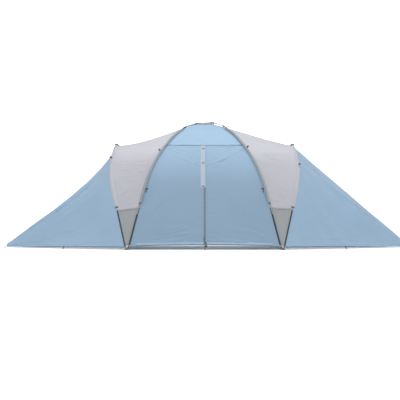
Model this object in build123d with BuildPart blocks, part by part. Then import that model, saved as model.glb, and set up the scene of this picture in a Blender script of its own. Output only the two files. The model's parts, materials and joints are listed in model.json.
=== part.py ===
from build123d import *
from math import radians, tan
import os

# A two-bedroom dome tent. Two long poles cross over the crown of the living area, a shorter
# hoop stands on each pair of feet beside them, and a wing tapers from each hoop to one peg.
# Millimetres, +Z up. The origin is on the ground under the crown, +X runs to the right-hand
# wing and the door faces -Y.

# Poles
FOOT_X = 1104              # cross pole foot, from the middle of the tent
FOOT_Y = 1186
CROWN_HEIGHT = 1894        # axis of the upper cross pole at the crown
POLE_CROSSING_GAP = 14     # between the axes of the two poles where they cross
HOOP_FOOT = (1138, 1200)
POLE_END_HEIGHT = 22       # the rod ends stand on pins
LEG_CORNER = (1170, 1260)  # distance from the crown along the diagonal, height
SHOULDER_CORNER = 460      # distance from the crown, at the crown's height
HOOP_LEG_CORNER = (1385, -1000, 1100)
HOOP_SHOULDER_CORNER = (1338, -500, 1520)
HOOP_TOP = (1328, 0, 1556)
BEND_SHARE = 0.45          # share of the shorter run beside it that each bend takes
ROD_RADIUS = 5.5
BORE_RADIUS = 2.8
CORD_RADIUS = 1.4
FERRULE_RADIUS = 7.0
FERRULE_CLEARANCE = 0.3
FERRULE_HALF_LENGTH = 70
SECTION_GAP = 1.0          # between two rods inside a ferrule
CORD_END_INSET = 45
CROSS_POLE_SECTIONS = 9
HOOP_SECTIONS = 7

# Pole sleeves, flat fabric tubes
SLEEVE_HALF_WIDTH = 24
SLEEVE_HALF_THICKNESS = 11
SLEEVE_BORE_RADIUS = 8.4
SLEEVE_FOOT_HEIGHT = 680
SLEEVE_CROWN_X = 330

# Fly
SKIN = 3.0                 # thickness of each fabric solid
SKIN_MARGIN = 30           # from a pole axis to the edge of the panel beside it
SEAM_HEIGHT = 600          # lower edge of the roof panels
DOOR_TOP = 1530
DOOR_FOOT_X = 1000
HEM_HEIGHT = 86            # under the middle of a wall
HEM_CORNER_HEIGHT = 52
EDGE_GAP = 3
TIP_X = {"left": 3005, "right": 3085}
TIP_HEIGHT = 55
TIP_HALF_WIDTH_SHARE = 0.022
WING_MIDDLE_X = 2190
WING_MIDDLE_WIDTH_SHARE = 0.485
WING_MIDDLE_HEIGHT_SHARE = {"left": 0.425, "right": 0.475}   # the left ridge sags more

# Bedrooms
ROOM_X = 1190              # bedroom wall, from the middle of the tent
ROOM_HEIGHT = 1400
ROOM_HALF_WIDTH = 1035
ROOM_END_X = 2760
ROOM_END_HALF_WIDTH = 94
TRAY_HEIGHT = 80
ROOM_DOOR_WIDTH = 760
ROOM_DOOR_TOP = 1230
ROOM_DOOR_SILL = 130
ROOM_DOOR_CORNER = 150
ROOM_END_HEIGHT_SHARE = 0.07

# Small fittings
PIN_RADIUS = 2.4
PEG_RADIUS = 2.5
PEG_LENGTH = 170
PEG_LIFT = 6
PEG_BACKSET = 14           # the hook stands this far outside its loop
STRAP_LENGTH = 36
CLIP_PLACES = (140, 290)   # across the tent from the crown, on each half of a pole
CLIP_LENGTH = 14
CLIP_WALL = 2.2
CLIP_TAB_DROP = 15

os.makedirs("parts", exist_ok=True)

SIDES = (("left", -1), ("right", 1))
ENDS = (("front", -1), ("rear", 1))
DIAGONAL = Vector(FOOT_X, FOOT_Y).normalized()


def smooth_radii(points):
    """One radius per corner, so that each bend takes its share of the shorter run beside it."""
    points = [Vector(point) for point in points]
    radii = []
    for before, corner, after in zip(points, points[1:], points[2:]):
        run_in = corner - before
        run_out = after - corner
        half_turn = radians(run_in.get_angle(run_out)) / 2
        radii.append(BEND_SHARE * min(run_in.length, run_out.length) / tan(half_turn))
    return radii


def smooth_wire(points):
    """Straight runs joined by tangent arcs."""
    with BuildLine() as line:
        FilletPolyline(*points, radius=smooth_radii(points))
    return line.wire()


def smooth_edge(points):
    """One spline edge through the points."""
    with BuildLine() as line:
        Spline(*points)
    return line.edge()


def save(part, name):
    part.label = name
    export_step(part, f"parts/{name}.step")


# ---------------------------------------------------------------- pole lines


def cross_pole_points(direction, crown_height):
    """Corners of one cross pole, from its front foot to its rear foot."""
    half = [
        (Vector(FOOT_X, FOOT_Y).length, POLE_END_HEIGHT),
        LEG_CORNER,
        (SHOULDER_CORNER, crown_height),
    ]
    front = [Vector(direction * DIAGONAL.X * s, -DIAGONAL.Y * s, z) for s, z in half]
    rear = [Vector(-point.X, -point.Y, point.Z) for point in reversed(front)]
    return front + rear


def hoop_points(sign):
    """Corners of one hoop, from its front foot over its top to its rear foot."""
    half = [
        (HOOP_FOOT[0], -HOOP_FOOT[1], POLE_END_HEIGHT),
        HOOP_LEG_CORNER,
        HOOP_SHOULDER_CORNER,
    ]
    front = [Vector(sign * x, y, z) for x, y, z in half]
    rear = [Vector(point.X, -point.Y, point.Z) for point in reversed(front)]
    top = Vector(sign * HOOP_TOP[0], HOOP_TOP[1], HOOP_TOP[2])
    return front + [top] + rear


lower_pole = smooth_wire(cross_pole_points(-1, CROWN_HEIGHT - POLE_CROSSING_GAP))
upper_pole = smooth_wire(cross_pole_points(1, CROWN_HEIGHT))
hoops = {side: smooth_wire(hoop_points(sign)) for side, sign in SIDES}

POLES = (
    ("lower_cross_pole", lower_pole, CROSS_POLE_SECTIONS),
    ("upper_cross_pole", upper_pole, CROSS_POLE_SECTIONS),
    ("left_hoop", hoops["left"], HOOP_SECTIONS),
    ("right_hoop", hoops["right"], HOOP_SECTIONS),
)


def fraction_at_height(wire, height):
    """How far along the rising half of a pole the height is reached, by bisection."""
    low, high = 0.0, 0.5
    for _ in range(40):
        middle = (low + high) / 2
        if (wire @ middle).Z < height:
            low = middle
        else:
            high = middle
    return low


# ---------------------------------------------------------------- poles

for pole_name, line, sections in POLES:
    joints = [index / sections for index in range(1, sections)]
    stops = [0.0] + joints + [1.0]
    half_gap = SECTION_GAP / 2 / line.length

    with BuildPart() as rods:
        for start, end in zip(stops, stops[1:]):
            first = start if start == 0.0 else start + half_gap
            last = end if end == 1.0 else end - half_gap
            section = line.trim(first, last)
            with BuildSketch(Plane(section @ 0, z_dir=section % 0)):
                Circle(ROD_RADIUS)
                Circle(BORE_RADIUS, mode=Mode.SUBTRACT)
            sweep(path=section)
    save(rods.part, f"{pole_name}_rods")

    with BuildPart() as ferrules:
        for joint in joints:
            reach = FERRULE_HALF_LENGTH / line.length
            section = line.trim(joint - reach, joint + reach)
            with BuildSketch(Plane(section @ 0, z_dir=section % 0)):
                Circle(FERRULE_RADIUS)
                Circle(ROD_RADIUS + FERRULE_CLEARANCE, mode=Mode.SUBTRACT)
            sweep(path=section)
    save(ferrules.part, f"{pole_name}_ferrules")

    with BuildPart() as shock_cord:
        inset = CORD_END_INSET / line.length
        section = line.trim(inset, 1 - inset)
        with BuildSketch(Plane(section @ 0, z_dir=section % 0)):
            Circle(CORD_RADIUS)
        sweep(path=section)
    save(shock_cord.part, f"{pole_name}_shock_cord")

# Each pin plugs into a rod end and stands on the ground through the corner tab.
PIN_REACH = 20
PIN_PLUG = 30
PIN_COLLAR_GAP = 0.5
PIN_COLLAR = 5

with BuildPart() as foot_pins:
    for _, line, _ in POLES:
        for end, inward in ((line @ 0, line % 0), (line @ 1, (line % 1) * -1)):
            with BuildSketch(Plane(end, z_dir=inward)):
                Circle(PIN_RADIUS)
            extrude(amount=PIN_PLUG)
            with BuildSketch(Plane(end - inward * PIN_COLLAR_GAP, z_dir=inward * -1)):
                Circle(ROD_RADIUS)
            extrude(amount=PIN_COLLAR)
            with BuildSketch(Plane(end, z_dir=inward * -1)):
                Circle(PIN_RADIUS)
            extrude(amount=PIN_REACH)
save(foot_pins.part, "foot_pins")

TAB_WIDTH = 80
TAB_DEPTH = 44
TAB_CORNER = 8
TAB_HEIGHT = 6
TAB_THICKNESS = 3
PIN_HOLE_RADIUS = 8

with BuildPart() as corner_tabs:
    for sign_x in (-1, 1):
        for sign_y in (-1, 1):
            middle_x = sign_x * (FOOT_X + HOOP_FOOT[0]) / 2
            middle_y = sign_y * (FOOT_Y + HOOP_FOOT[1]) / 2
            with BuildSketch(Plane.XY.offset(TAB_HEIGHT)):
                with Locations((middle_x, middle_y)):
                    RectangleRounded(TAB_WIDTH, TAB_DEPTH, TAB_CORNER)
                with Locations(
                    (sign_x * (FOOT_X + 4), sign_y * (FOOT_Y + 4)),
                    (sign_x * (HOOP_FOOT[0] - 3), sign_y * (HOOP_FOOT[1] + 2)),
                ):
                    Circle(PIN_HOLE_RADIUS, mode=Mode.SUBTRACT)
            extrude(amount=TAB_THICKNESS)
save(corner_tabs.part, "corner_tabs")

# Each clip snaps round a bare rod near the crown and carries a short tab sewn to the fly.
with BuildPart() as pole_clips:
    for line in (lower_pole, upper_pole):
        for place in CLIP_PLACES:
            for end_sign in (-1, 1):
                middle = 0.5 + end_sign * place / DIAGONAL.X / line.length
                half = CLIP_LENGTH / 2 / line.length
                section = line.trim(middle - half, middle + half)
                along = section % 0
                across = along.cross(Vector(0, 0, 1)).normalized()
                down = along.cross(across)
                if down.Z > 0:
                    down = down * -1
                with BuildSketch(Plane(section @ 0, x_dir=down, z_dir=along)):
                    Circle(ROD_RADIUS + FERRULE_CLEARANCE + CLIP_WALL)
                    with Locations((CLIP_TAB_DROP / 2 + ROD_RADIUS, 0)):
                        Rectangle(CLIP_TAB_DROP, CLIP_WALL)
                    Circle(ROD_RADIUS + FERRULE_CLEARANCE, mode=Mode.SUBTRACT)
                extrude(amount=CLIP_LENGTH)
save(pole_clips.part, "pole_clips")

# ---------------------------------------------------------------- pole sleeves

with BuildPart() as cross_pole_sleeves:
    for line in (lower_pole, upper_pole):
        low = fraction_at_height(line, SLEEVE_FOOT_HEIGHT)
        crown_gap = SLEEVE_CROWN_X / DIAGONAL.X / line.length
        across = DIAGONAL.cross(Vector(0, 0, 1))
        if line is lower_pole:
            across = Vector(across.X, -across.Y, 0)
        for first, last in ((low, 0.5 - crown_gap), (0.5 + crown_gap, 1 - low)):
            section = line.trim(first, last)
            with BuildSketch(Plane(section @ 0, x_dir=across, z_dir=section % 0)):
                Ellipse(SLEEVE_HALF_WIDTH, SLEEVE_HALF_THICKNESS)
                Circle(SLEEVE_BORE_RADIUS, mode=Mode.SUBTRACT)
            sweep(path=section)
save(cross_pole_sleeves.part, "cross_pole_sleeves")

for side, sign in SIDES:
    with BuildPart() as hoop_sleeve:
        low = fraction_at_height(hoops[side], SEAM_HEIGHT)
        section = hoops[side].trim(low, 1 - low)
        forward = section % 0
        across = Vector(1, 0, 0) - forward * forward.X
        with BuildSketch(Plane(section @ 0, x_dir=across, z_dir=forward)):
            Ellipse(SLEEVE_HALF_WIDTH, SLEEVE_HALF_THICKNESS)
            Circle(SLEEVE_BORE_RADIUS, mode=Mode.SUBTRACT)
        sweep(path=section)
    save(hoop_sleeve.part, f"{side}_hoop_sleeve")

# ---------------------------------------------------------------- front and rear walls

# The wall hangs just inside the cross poles, so its profile is theirs, moved inwards.
WALL_FOOT = (-1176, 0)
WALL_SHOULDER = (-848, 1250)
WALL_CROWN = (-334, 1868)
WALL_TOP = (0, 1868)
WALL_PROFILE = (WALL_FOOT, WALL_SHOULDER, WALL_CROWN, WALL_TOP)
WALL_LEAN = (WALL_SHOULDER[0] - WALL_FOOT[0]) / WALL_SHOULDER[1]
SIDE_SLOPE = (DIAGONAL.X * LEG_CORNER[0] - FOOT_X) / LEG_CORNER[1]
WALL_EDGE_SETBACK = SKIN_MARGIN / DIAGONAL.X + 14
SECTOR_REACH = 1400
BESIDE_REACH = 1400        # deeper than any wall, for cuts along Y
OUTLINE_RADIUS = 1500
DOOR_SHOULDER = 1235       # the doorway's sides are straight up to here
DOOR_HEAD_X = 470


def wall_line(outward=0.0):
    """The wall's profile in the YZ plane, moved outwards by a few millimetres."""
    shifted = [(y - outward, z + 0.6 * outward) for y, z in WALL_PROFILE]
    return FilletPolyline(*shifted, radius=smooth_radii(WALL_PROFILE))


def door_outline(inset):
    """Sketch outline of the doorway in the XZ plane, made smaller by the inset."""
    corners = [
        (DOOR_FOOT_X - inset, -20),
        (DOOR_FOOT_X - inset + SIDE_SLOPE * DOOR_SHOULDER, DOOR_SHOULDER),
        (DOOR_HEAD_X - inset, DOOR_TOP - inset),
    ]
    mirrored = [(-x, z) for x, z in reversed(corners)]
    FilletPolyline(*corners, radius=OUTLINE_RADIUS)
    FilletPolyline(*mirrored, radius=OUTLINE_RADIUS)
    Line(corners[-1], mirrored[0])
    Line(mirrored[-1], corners[0])


wall_nodes = {}
for end_name, end_sign in ENDS:
    with BuildPart() as wall:
        with BuildSketch(Plane.YZ.offset(-1300)):
            with BuildLine():
                wall_line()
            trace(line_width=SKIN)
        extrude(amount=2600)
        # Only the sector between the two cross poles is kept.
        half_spread = SECTOR_REACH * DIAGONAL.X / DIAGONAL.Y
        with BuildSketch(Plane.XY.offset(-10)):
            Polygon(
                (0, -WALL_EDGE_SETBACK),
                (-half_spread, -SECTOR_REACH - WALL_EDGE_SETBACK),
                (half_spread, -SECTOR_REACH - WALL_EDGE_SETBACK),
                align=None,
            )
        extrude(amount=2100, mode=Mode.INTERSECT)
        # The hem rises a little between the feet.
        with BuildSketch(Plane.XZ.offset(-100)):
            with BuildLine():
                ThreePointArc((-1200, HEM_CORNER_HEIGHT), (0, HEM_HEIGHT), (1200, HEM_CORNER_HEIGHT))
                Polyline((1200, HEM_CORNER_HEIGHT), (1200, -50), (-1200, -50), (-1200, HEM_CORNER_HEIGHT))
            make_face()
        extrude(amount=BESIDE_REACH, mode=Mode.SUBTRACT)
    if end_name == "rear":
        with BuildPart() as rear_wall:
            add(wall.part.mirror(Plane.XZ))
        save(rear_wall.part, "rear_wall")
    else:
        wall_nodes["front"] = wall.part

with BuildPart() as front_wall:
    add(wall_nodes["front"])
    with BuildSketch(Plane.XZ.offset(100)):
        with BuildLine():
            door_outline(0)
        make_face()
    extrude(amount=BESIDE_REACH, mode=Mode.SUBTRACT)
save(front_wall.part, "front_wall")

for side, sign in SIDES:
    with BuildPart() as door_flap:
        add(wall_nodes["front"])
        with BuildSketch(Plane.XZ.offset(100)):
            with BuildLine():
                door_outline(EDGE_GAP)
            make_face()
            with Locations((-sign * 1500, 800)):
                Rectangle(3003, 2400, mode=Mode.SUBTRACT)
        extrude(amount=BESIDE_REACH, mode=Mode.INTERSECT)
    save(door_flap.part, f"{side}_door_flap")

# ---------------------------------------------------------------- zip and storm flap

CHAIN_WIDTH = 8
CHAIN_GAP = 1.6            # from the middle of the door to each half of the chain
CHAIN_END_INSET = 12
STORM_FLAP_WIDTH = 50
STORM_FLAP_FOOT = 905
STORM_FLAP_TOP = DOOR_TOP - 8

for side, sign in SIDES:
    tape_start = CHAIN_GAP if sign > 0 else -CHAIN_GAP - CHAIN_WIDTH
    with BuildPart() as zip_tape:
        with BuildSketch(Plane.YZ.offset(tape_start)):
            with BuildLine():
                wall_line(outward=4)
            trace(line_width=1.8)
        extrude(amount=CHAIN_WIDTH)
        with BuildSketch(Plane.XZ.offset(100)):
            with Locations((0, (HEM_HEIGHT + DOOR_TOP) / 2)):
                Rectangle(60, DOOR_TOP - HEM_HEIGHT - 2 * CHAIN_END_INSET)
        extrude(amount=BESIDE_REACH, mode=Mode.INTERSECT)
    save(zip_tape.part, f"{side}_zip_tape")

with BuildPart() as storm_flap:
    with BuildSketch(Plane.YZ.offset(-2 - STORM_FLAP_WIDTH)):
        with BuildLine():
            wall_line(outward=9)
        trace(line_width=2.4)
    extrude(amount=STORM_FLAP_WIDTH)
    with BuildSketch(Plane.XZ.offset(100)):
        with Locations((0, (STORM_FLAP_FOOT + STORM_FLAP_TOP) / 2)):
            Rectangle(140, STORM_FLAP_TOP - STORM_FLAP_FOOT)
    extrude(amount=BESIDE_REACH, mode=Mode.INTERSECT)
save(storm_flap.part, "storm_flap")


def wall_plane(x, height, outward):
    """A plane on the straight lower wall: X across, Y up the slope, Z out of the tent."""
    up_slope = Vector(0, WALL_LEAN, 1).normalized()
    across = Vector(1, 0, 0)
    out = across.cross(up_slope)
    on_wall = Vector(x, WALL_FOOT[0] + WALL_LEAN * height, height)
    return Plane(on_wall + out * outward, x_dir=across, z_dir=out)


SLIDER_HEIGHT = 165
SLIDER_X = -6.9            # on the left half of the chain
PULL_DROP = 34
PULL_LENGTH = 40
with BuildPart() as zip_slider:
    with BuildSketch(wall_plane(SLIDER_X, SLIDER_HEIGHT, 6.5)):
        RectangleRounded(10, 24, 2)
    extrude(amount=4)
    fillet(zip_slider.edges().group_by(Axis.Y)[0], radius=1)
save(zip_slider.part, "zip_slider")

with BuildPart() as zip_pull:
    with BuildSketch(wall_plane(SLIDER_X, SLIDER_HEIGHT - PULL_DROP, 6.5)):
        SlotOverall(PULL_LENGTH, 7, rotation=90)
        with Locations((0, -13)):
            Circle(1.6, mode=Mode.SUBTRACT)
    extrude(amount=2)
save(zip_pull.part, "zip_pull")

# ---------------------------------------------------------------- door tie-backs

TIE_HEIGHT = 880
TIE_X = 840                # beside the doorway, where the wall meets the pole sleeve
TIE_TAB_WIDTH = 40
TOGGLE_X = 848
TOGGLE_LENGTH = 42
TOGGLE_DROP = 34
for side, sign in SIDES:
    with BuildPart() as tie_tab:
        with BuildSketch(wall_plane(sign * TIE_X, TIE_HEIGHT, 2.2)):
            RectangleRounded(TIE_TAB_WIDTH, 22, 2)
        extrude(amount=3)
    save(tie_tab.part, f"{side}_tieback_tab")

    with BuildPart() as toggle:
        with BuildSketch(wall_plane(sign * TOGGLE_X, TIE_HEIGHT - TOGGLE_DROP, 2.4)):
            SlotOverall(TOGGLE_LENGTH, 12, rotation=90)
        extrude(amount=8)
        fillet(toggle.edges().group_by(Axis.Y)[0], radius=2)
    save(toggle.part, f"{side}_tieback_toggle")

# ---------------------------------------------------------------- roof panels, gussets, wings

RIDGE = ((1000, 1592), (690, 1685), (400, 1775))
RIDGE_CROWN = (70, 1852)
HOOP_TOP_DROP = 10
TIP_HEM_HEIGHT = 14
CROWN_END = 0.47           # fraction of a cross pole where the roof panel's edge ends

for side, sign in SIDES:
    front_pole = upper_pole if sign > 0 else lower_pole
    hoop = hoops[side]
    beside_pole = Vector(sign * DIAGONAL.Y, DIAGONAL.X, 0) * SKIN_MARGIN
    below = Vector(0, 0, -14)
    inside_hoop = Vector(-sign * SKIN_MARGIN, 0, -HOOP_TOP_DROP)
    outside_hoop = Vector(sign * SKIN_MARGIN, 0, -HOOP_TOP_DROP)
    pole_low = fraction_at_height(front_pole, SEAM_HEIGHT)
    hoop_low = fraction_at_height(hoop, SEAM_HEIGHT)
    pole_middle = fraction_at_height(front_pole, DOOR_TOP)

    def beside(first, last, count):
        """Points along the cross pole's outer side, from one fraction to another."""
        steps = [first + (last - first) * index / (count - 1) for index in range(count)]
        return [front_pole @ step + beside_pole + below for step in steps]

    def along_hoop(first, last, count, shift):
        """Points along the hoop, moved sideways by the shift."""
        steps = [first + (last - first) * index / (count - 1) for index in range(count)]
        return [hoop @ step + shift for step in steps]

    roof_inward = Vector(-sign * 0.45, 0.65, -0.6)
    hoop_edge = along_hoop(hoop_low, 0.5, 8, inside_hoop)
    ridge = [hoop_edge[-1]]
    ridge += [Vector(sign * x, 0, z) for x, z in RIDGE]
    ridge += [Vector(sign * RIDGE_CROWN[0], 0, RIDGE_CROWN[1])]
    lower_skin = Face.make_surface_from_curves(
        smooth_edge(beside(pole_low, pole_middle, 6)), smooth_edge(hoop_edge)
    )
    upper_skin = Face.make_surface_from_curves(
        smooth_edge(beside(pole_middle, CROWN_END, 6)), smooth_edge(ridge)
    )

    with BuildPart() as roof_panel:
        extrude(lower_skin, amount=SKIN + 1, dir=roof_inward)
        extrude(upper_skin, amount=SKIN + 1, dir=roof_inward)
        split(bisect_by=Plane.XZ, keep=Keep.TOP)
        mirror(about=Plane.XZ)
    save(roof_panel.part, f"{side}_roof_panel")

    gusset_gap = Vector(0, 0, -2 * EDGE_GAP)
    gusset_corners = [
        front_pole @ 0.01 + Vector(sign * 18, 0, 30),
        beside(pole_low, 0.3, 2)[0] + gusset_gap,
        hoop_edge[0] + gusset_gap,
    ]
    gusset_face = Face(Wire.make_polygon(gusset_corners))
    for end_name, end_sign in ENDS:
        with BuildPart() as gusset:
            extrude(gusset_face, amount=SKIN, dir=Vector(0, 1, 0))
            if end_sign > 0:
                mirror(about=Plane.XZ)
                split(bisect_by=Plane.XZ, keep=Keep.BOTTOM)
        save(gusset.part, f"{side}_{end_name}_gusset")

    # The wing runs from the hoop to a narrow end at the peg, sagging a little on the way.
    hem_low = fraction_at_height(hoop, HEM_CORNER_HEIGHT)
    wing_edge = along_hoop(hem_low, 0.5, 9, outside_hoop)
    middle_share = WING_MIDDLE_HEIGHT_SHARE[side]
    middle_edge = [
        Vector(sign * WING_MIDDLE_X, point.Y * WING_MIDDLE_WIDTH_SHARE, 18 + point.Z * middle_share)
        for point in wing_edge
    ]
    tip_share = (TIP_HEIGHT - TIP_HEM_HEIGHT) / (HOOP_TOP[2] - HOOP_TOP_DROP)
    tip_edge = [
        Vector(sign * TIP_X[side], point.Y * TIP_HALF_WIDTH_SHARE, TIP_HEM_HEIGHT + point.Z * tip_share)
        for point in wing_edge
    ]
    wing_inward = Vector(-sign * 0.5, 0.5, -0.6)
    with BuildPart() as wing:
        for near, far in ((wing_edge, middle_edge), (middle_edge, tip_edge)):
            skin = Face.make_surface_from_curves(smooth_edge(near), smooth_edge(far))
            extrude(skin, amount=SKIN + 1, dir=wing_inward)
        split(bisect_by=Plane.XZ, keep=Keep.TOP)
        mirror(about=Plane.XZ)
    save(wing.part, f"{side}_wing")

    # Webbing strap from the wing's end to its peg.
    with BuildPart() as tip_strap:
        with BuildSketch(Plane.XY.offset(4)):
            with Locations((sign * (TIP_X[side] + 22), 0)):
                Rectangle(STRAP_LENGTH, 24)
                Rectangle(22, 12, mode=Mode.SUBTRACT)
        extrude(amount=2.5)
    save(tip_strap.part, f"{side}_tip_strap")

# ---------------------------------------------------------------- floors and bedrooms

with BuildPart() as living_groundsheet:
    with BuildSketch():
        RectangleRounded(2 * ROOM_X - 40, 2080, 30)
    extrude(amount=SKIN)
save(living_groundsheet.part, "living_groundsheet")

ROOM_HEM_HEIGHT = 90
ROOM_ARCH = ((ROOM_HALF_WIDTH, ROOM_HEM_HEIGHT), (870, 1010), (480, 1360), (0, ROOM_HEIGHT))
TRAY_GAP = 14

for side, sign in SIDES:
    tray_outline = (
        (sign * (ROOM_X + TRAY_GAP), -ROOM_HALF_WIDTH),
        (sign * ROOM_END_X, -ROOM_END_HALF_WIDTH),
        (sign * ROOM_END_X, ROOM_END_HALF_WIDTH),
        (sign * (ROOM_X + TRAY_GAP), ROOM_HALF_WIDTH),
    )
    with BuildPart() as floor_tray:
        with BuildSketch():
            Polygon(*tray_outline, align=None)
        extrude(amount=TRAY_HEIGHT)
        with BuildSketch(Plane.XY.offset(SKIN)):
            Polygon(*tray_outline, align=None)
            offset(amount=-SKIN, kind=Kind.INTERSECTION, mode=Mode.REPLACE)
        extrude(amount=TRAY_HEIGHT, mode=Mode.SUBTRACT)
    save(floor_tray.part, f"{side}_bedroom_floor")

    arch = [(-y, z) for y, z in ROOM_ARCH[:-1]] + [(0, ROOM_HEIGHT)]
    arch += [(y, z) for y, z in reversed(ROOM_ARCH[:-1])]
    wall_x = sign * ROOM_X if sign > 0 else sign * ROOM_X - SKIN
    with BuildPart() as room_wall:
        with BuildSketch(Plane.YZ.offset(wall_x)):
            with BuildLine():
                FilletPolyline(*arch, radius=smooth_radii(arch))
                Line(arch[-1], arch[0])
            make_face()
            with Locations((0, (ROOM_DOOR_SILL + ROOM_DOOR_TOP) / 2)):
                RectangleRounded(
                    ROOM_DOOR_WIDTH,
                    ROOM_DOOR_TOP - ROOM_DOOR_SILL,
                    ROOM_DOOR_CORNER,
                    mode=Mode.SUBTRACT,
                )
        extrude(amount=SKIN)
    save(room_wall.part, f"{side}_bedroom_wall")

    with BuildPart() as room_door:
        with BuildSketch(Plane.YZ.offset(wall_x)):
            with Locations((0, (ROOM_DOOR_SILL + ROOM_DOOR_TOP) / 2)):
                RectangleRounded(
                    ROOM_DOOR_WIDTH - 2 * EDGE_GAP,
                    ROOM_DOOR_TOP - ROOM_DOOR_SILL - 2 * EDGE_GAP,
                    ROOM_DOOR_CORNER - EDGE_GAP,
                )
        extrude(amount=SKIN)
    save(room_door.part, f"{side}_bedroom_door")

    arch_line = smooth_wire([Vector(sign * (ROOM_X + 10), y, z) for y, z in arch])
    near = [arch_line @ (0.5 * index / 8) + Vector(0, 0, 6) for index in range(9)]
    far = [
        Vector(
            sign * (ROOM_END_X - 20),
            point.Y * ROOM_END_HALF_WIDTH / ROOM_HALF_WIDTH,
            ROOM_HEM_HEIGHT + (point.Z - ROOM_HEM_HEIGHT) * ROOM_END_HEIGHT_SHARE,
        )
        for point in near
    ]
    with BuildPart() as canopy:
        skin = Face.make_surface_from_curves(smooth_edge(near), smooth_edge(far))
        extrude(skin, amount=SKIN + 1, dir=Vector(-sign * 0.5, 0.5, -0.6))
        split(bisect_by=Plane.XZ, keep=Keep.TOP)
        mirror(about=Plane.XZ)
    save(canopy.part, f"{side}_bedroom_canopy")

# ---------------------------------------------------------------- pegs and loops

PEG_PLACES = [(sign * 1121, -1224) for _, sign in SIDES]
PEG_PLACES += [(sign * 2080, -680) for _, sign in SIDES]
PEG_PLACES += [(sign * (TIP_X[side] + 26), -16) for side, sign in SIDES]
PEG_PLACES += [(0, -1195)]

with BuildPart() as peg:
    with BuildLine() as peg_line:
        FilletPolyline((15, -12, 0), (15, 7, 0), (0, 7, 0), (0, -PEG_LENGTH, 0), radius=6.5)
    peg_path = peg_line.wire()
    with BuildSketch(Plane(peg_path @ 0, z_dir=peg_path % 0)):
        Circle(PEG_RADIUS)
    sweep(path=peg_path)

with BuildPart() as pegs:
    for x, y in PEG_PLACES:
        hooked = peg.part if x >= 0 else peg.part.mirror(Plane.YZ)
        with Locations((x, y - PEG_BACKSET, PEG_LIFT)):
            add(hooked)
        if y < -100:
            with Locations((x, -y + PEG_BACKSET, PEG_LIFT)):
                add(hooked.mirror(Plane.XZ))
save(pegs.part, "pegs")

with BuildPart() as peg_loops:
    for x, y in PEG_PLACES:
        for end_sign in (-1, 1):
            if y < -100 or end_sign < 0:
                with BuildSketch(Plane((x, end_sign * -y - 1.5, 7), x_dir=(1, 0, 0), z_dir=(0, 1, 0))):
                    SlotOverall(24, 14)
                    SlotOverall(19, 9, mode=Mode.SUBTRACT)
                extrude(amount=3)
save(peg_loops.part, "peg_loops")
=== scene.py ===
import json
import math

import bpy
import numpy as np
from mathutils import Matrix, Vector


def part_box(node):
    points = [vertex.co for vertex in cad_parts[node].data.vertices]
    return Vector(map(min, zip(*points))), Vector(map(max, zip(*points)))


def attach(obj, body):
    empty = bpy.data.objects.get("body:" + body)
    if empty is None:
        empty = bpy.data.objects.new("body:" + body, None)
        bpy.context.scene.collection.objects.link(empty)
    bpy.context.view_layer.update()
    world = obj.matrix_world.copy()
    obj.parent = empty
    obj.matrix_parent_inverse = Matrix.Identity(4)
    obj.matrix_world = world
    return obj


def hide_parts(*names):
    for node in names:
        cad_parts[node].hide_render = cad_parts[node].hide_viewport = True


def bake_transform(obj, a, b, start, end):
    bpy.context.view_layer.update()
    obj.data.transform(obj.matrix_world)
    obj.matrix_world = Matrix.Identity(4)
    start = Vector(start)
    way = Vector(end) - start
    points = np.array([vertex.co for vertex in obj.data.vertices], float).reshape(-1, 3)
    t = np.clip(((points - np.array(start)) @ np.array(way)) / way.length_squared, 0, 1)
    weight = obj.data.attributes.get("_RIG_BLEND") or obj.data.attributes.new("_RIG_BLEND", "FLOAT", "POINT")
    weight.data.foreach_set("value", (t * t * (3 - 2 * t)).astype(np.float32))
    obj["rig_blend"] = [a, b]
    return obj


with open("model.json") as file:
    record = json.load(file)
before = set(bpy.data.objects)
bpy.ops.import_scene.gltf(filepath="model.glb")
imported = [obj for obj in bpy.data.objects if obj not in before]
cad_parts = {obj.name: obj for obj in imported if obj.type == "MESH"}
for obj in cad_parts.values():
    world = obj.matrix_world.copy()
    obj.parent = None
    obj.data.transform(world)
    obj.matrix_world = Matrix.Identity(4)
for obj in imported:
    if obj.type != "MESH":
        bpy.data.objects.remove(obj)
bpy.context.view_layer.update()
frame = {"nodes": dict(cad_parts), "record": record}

# -------- sizes, in metres

# The pole lines of the frame: corners of straight runs joined by tangent arcs.
ROD_RADIUS = 0.0055
FOOT = np.array((1.104, 1.186))
CROWN_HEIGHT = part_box("upper_cross_pole_rods")[1].z - ROD_RADIUS
CROSSING_GAP = 0.014
DIAGONAL = FOOT / np.linalg.norm(FOOT)
CROSS_CORNERS = ((float(np.linalg.norm(FOOT)), 0.022), (1.170, 1.260), (0.460, CROWN_HEIGHT))
HOOP_CORNERS = ((1.138, -1.200, 0.022), (1.385, -1.000, 1.100), (1.338, -0.500, 1.520))
HOOP_TOP = (1.328, 0.0, 1.556)
SKIN_DEPTH = 0.009                # the fly hangs this far inside the pole lines
HOOP_INSET = 0.4                  # share of that depth by which a hoop's skin also lies nearer the middle
BEND_SHARE = 0.45                 # share of the shorter run that each bend takes

SLEEVE_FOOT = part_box("cross_pole_sleeves")[0].z
SLEEVE_GAP = 0.330                # from the crown to the upper end of a sleeve, across the tent
SEAM_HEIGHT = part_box("left_hoop_sleeve")[0].z + 0.010
DOOR_TOP = 1.530
DOOR_EDGE_CORNERS = ((1.000, -0.020), (0.699, 1.235), (0.470, DOOR_TOP))
HEM_HEIGHT = 0.076
HEM_CORNER_HEIGHT = 0.052
WALL_SET_BACK = 0.010             # how far the middle of a wall hangs inside its smooth surface
STORM_FLAP_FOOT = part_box("storm_flap")[0].z
STORM_FLAP_SEAM = -0.059          # across the tent
STORM_FLAP_WIDTH = 0.071
ROOM_WALL_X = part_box("right_bedroom_wall")[0].x
ROOM_DOOR_MIDDLE = 0.68

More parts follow.
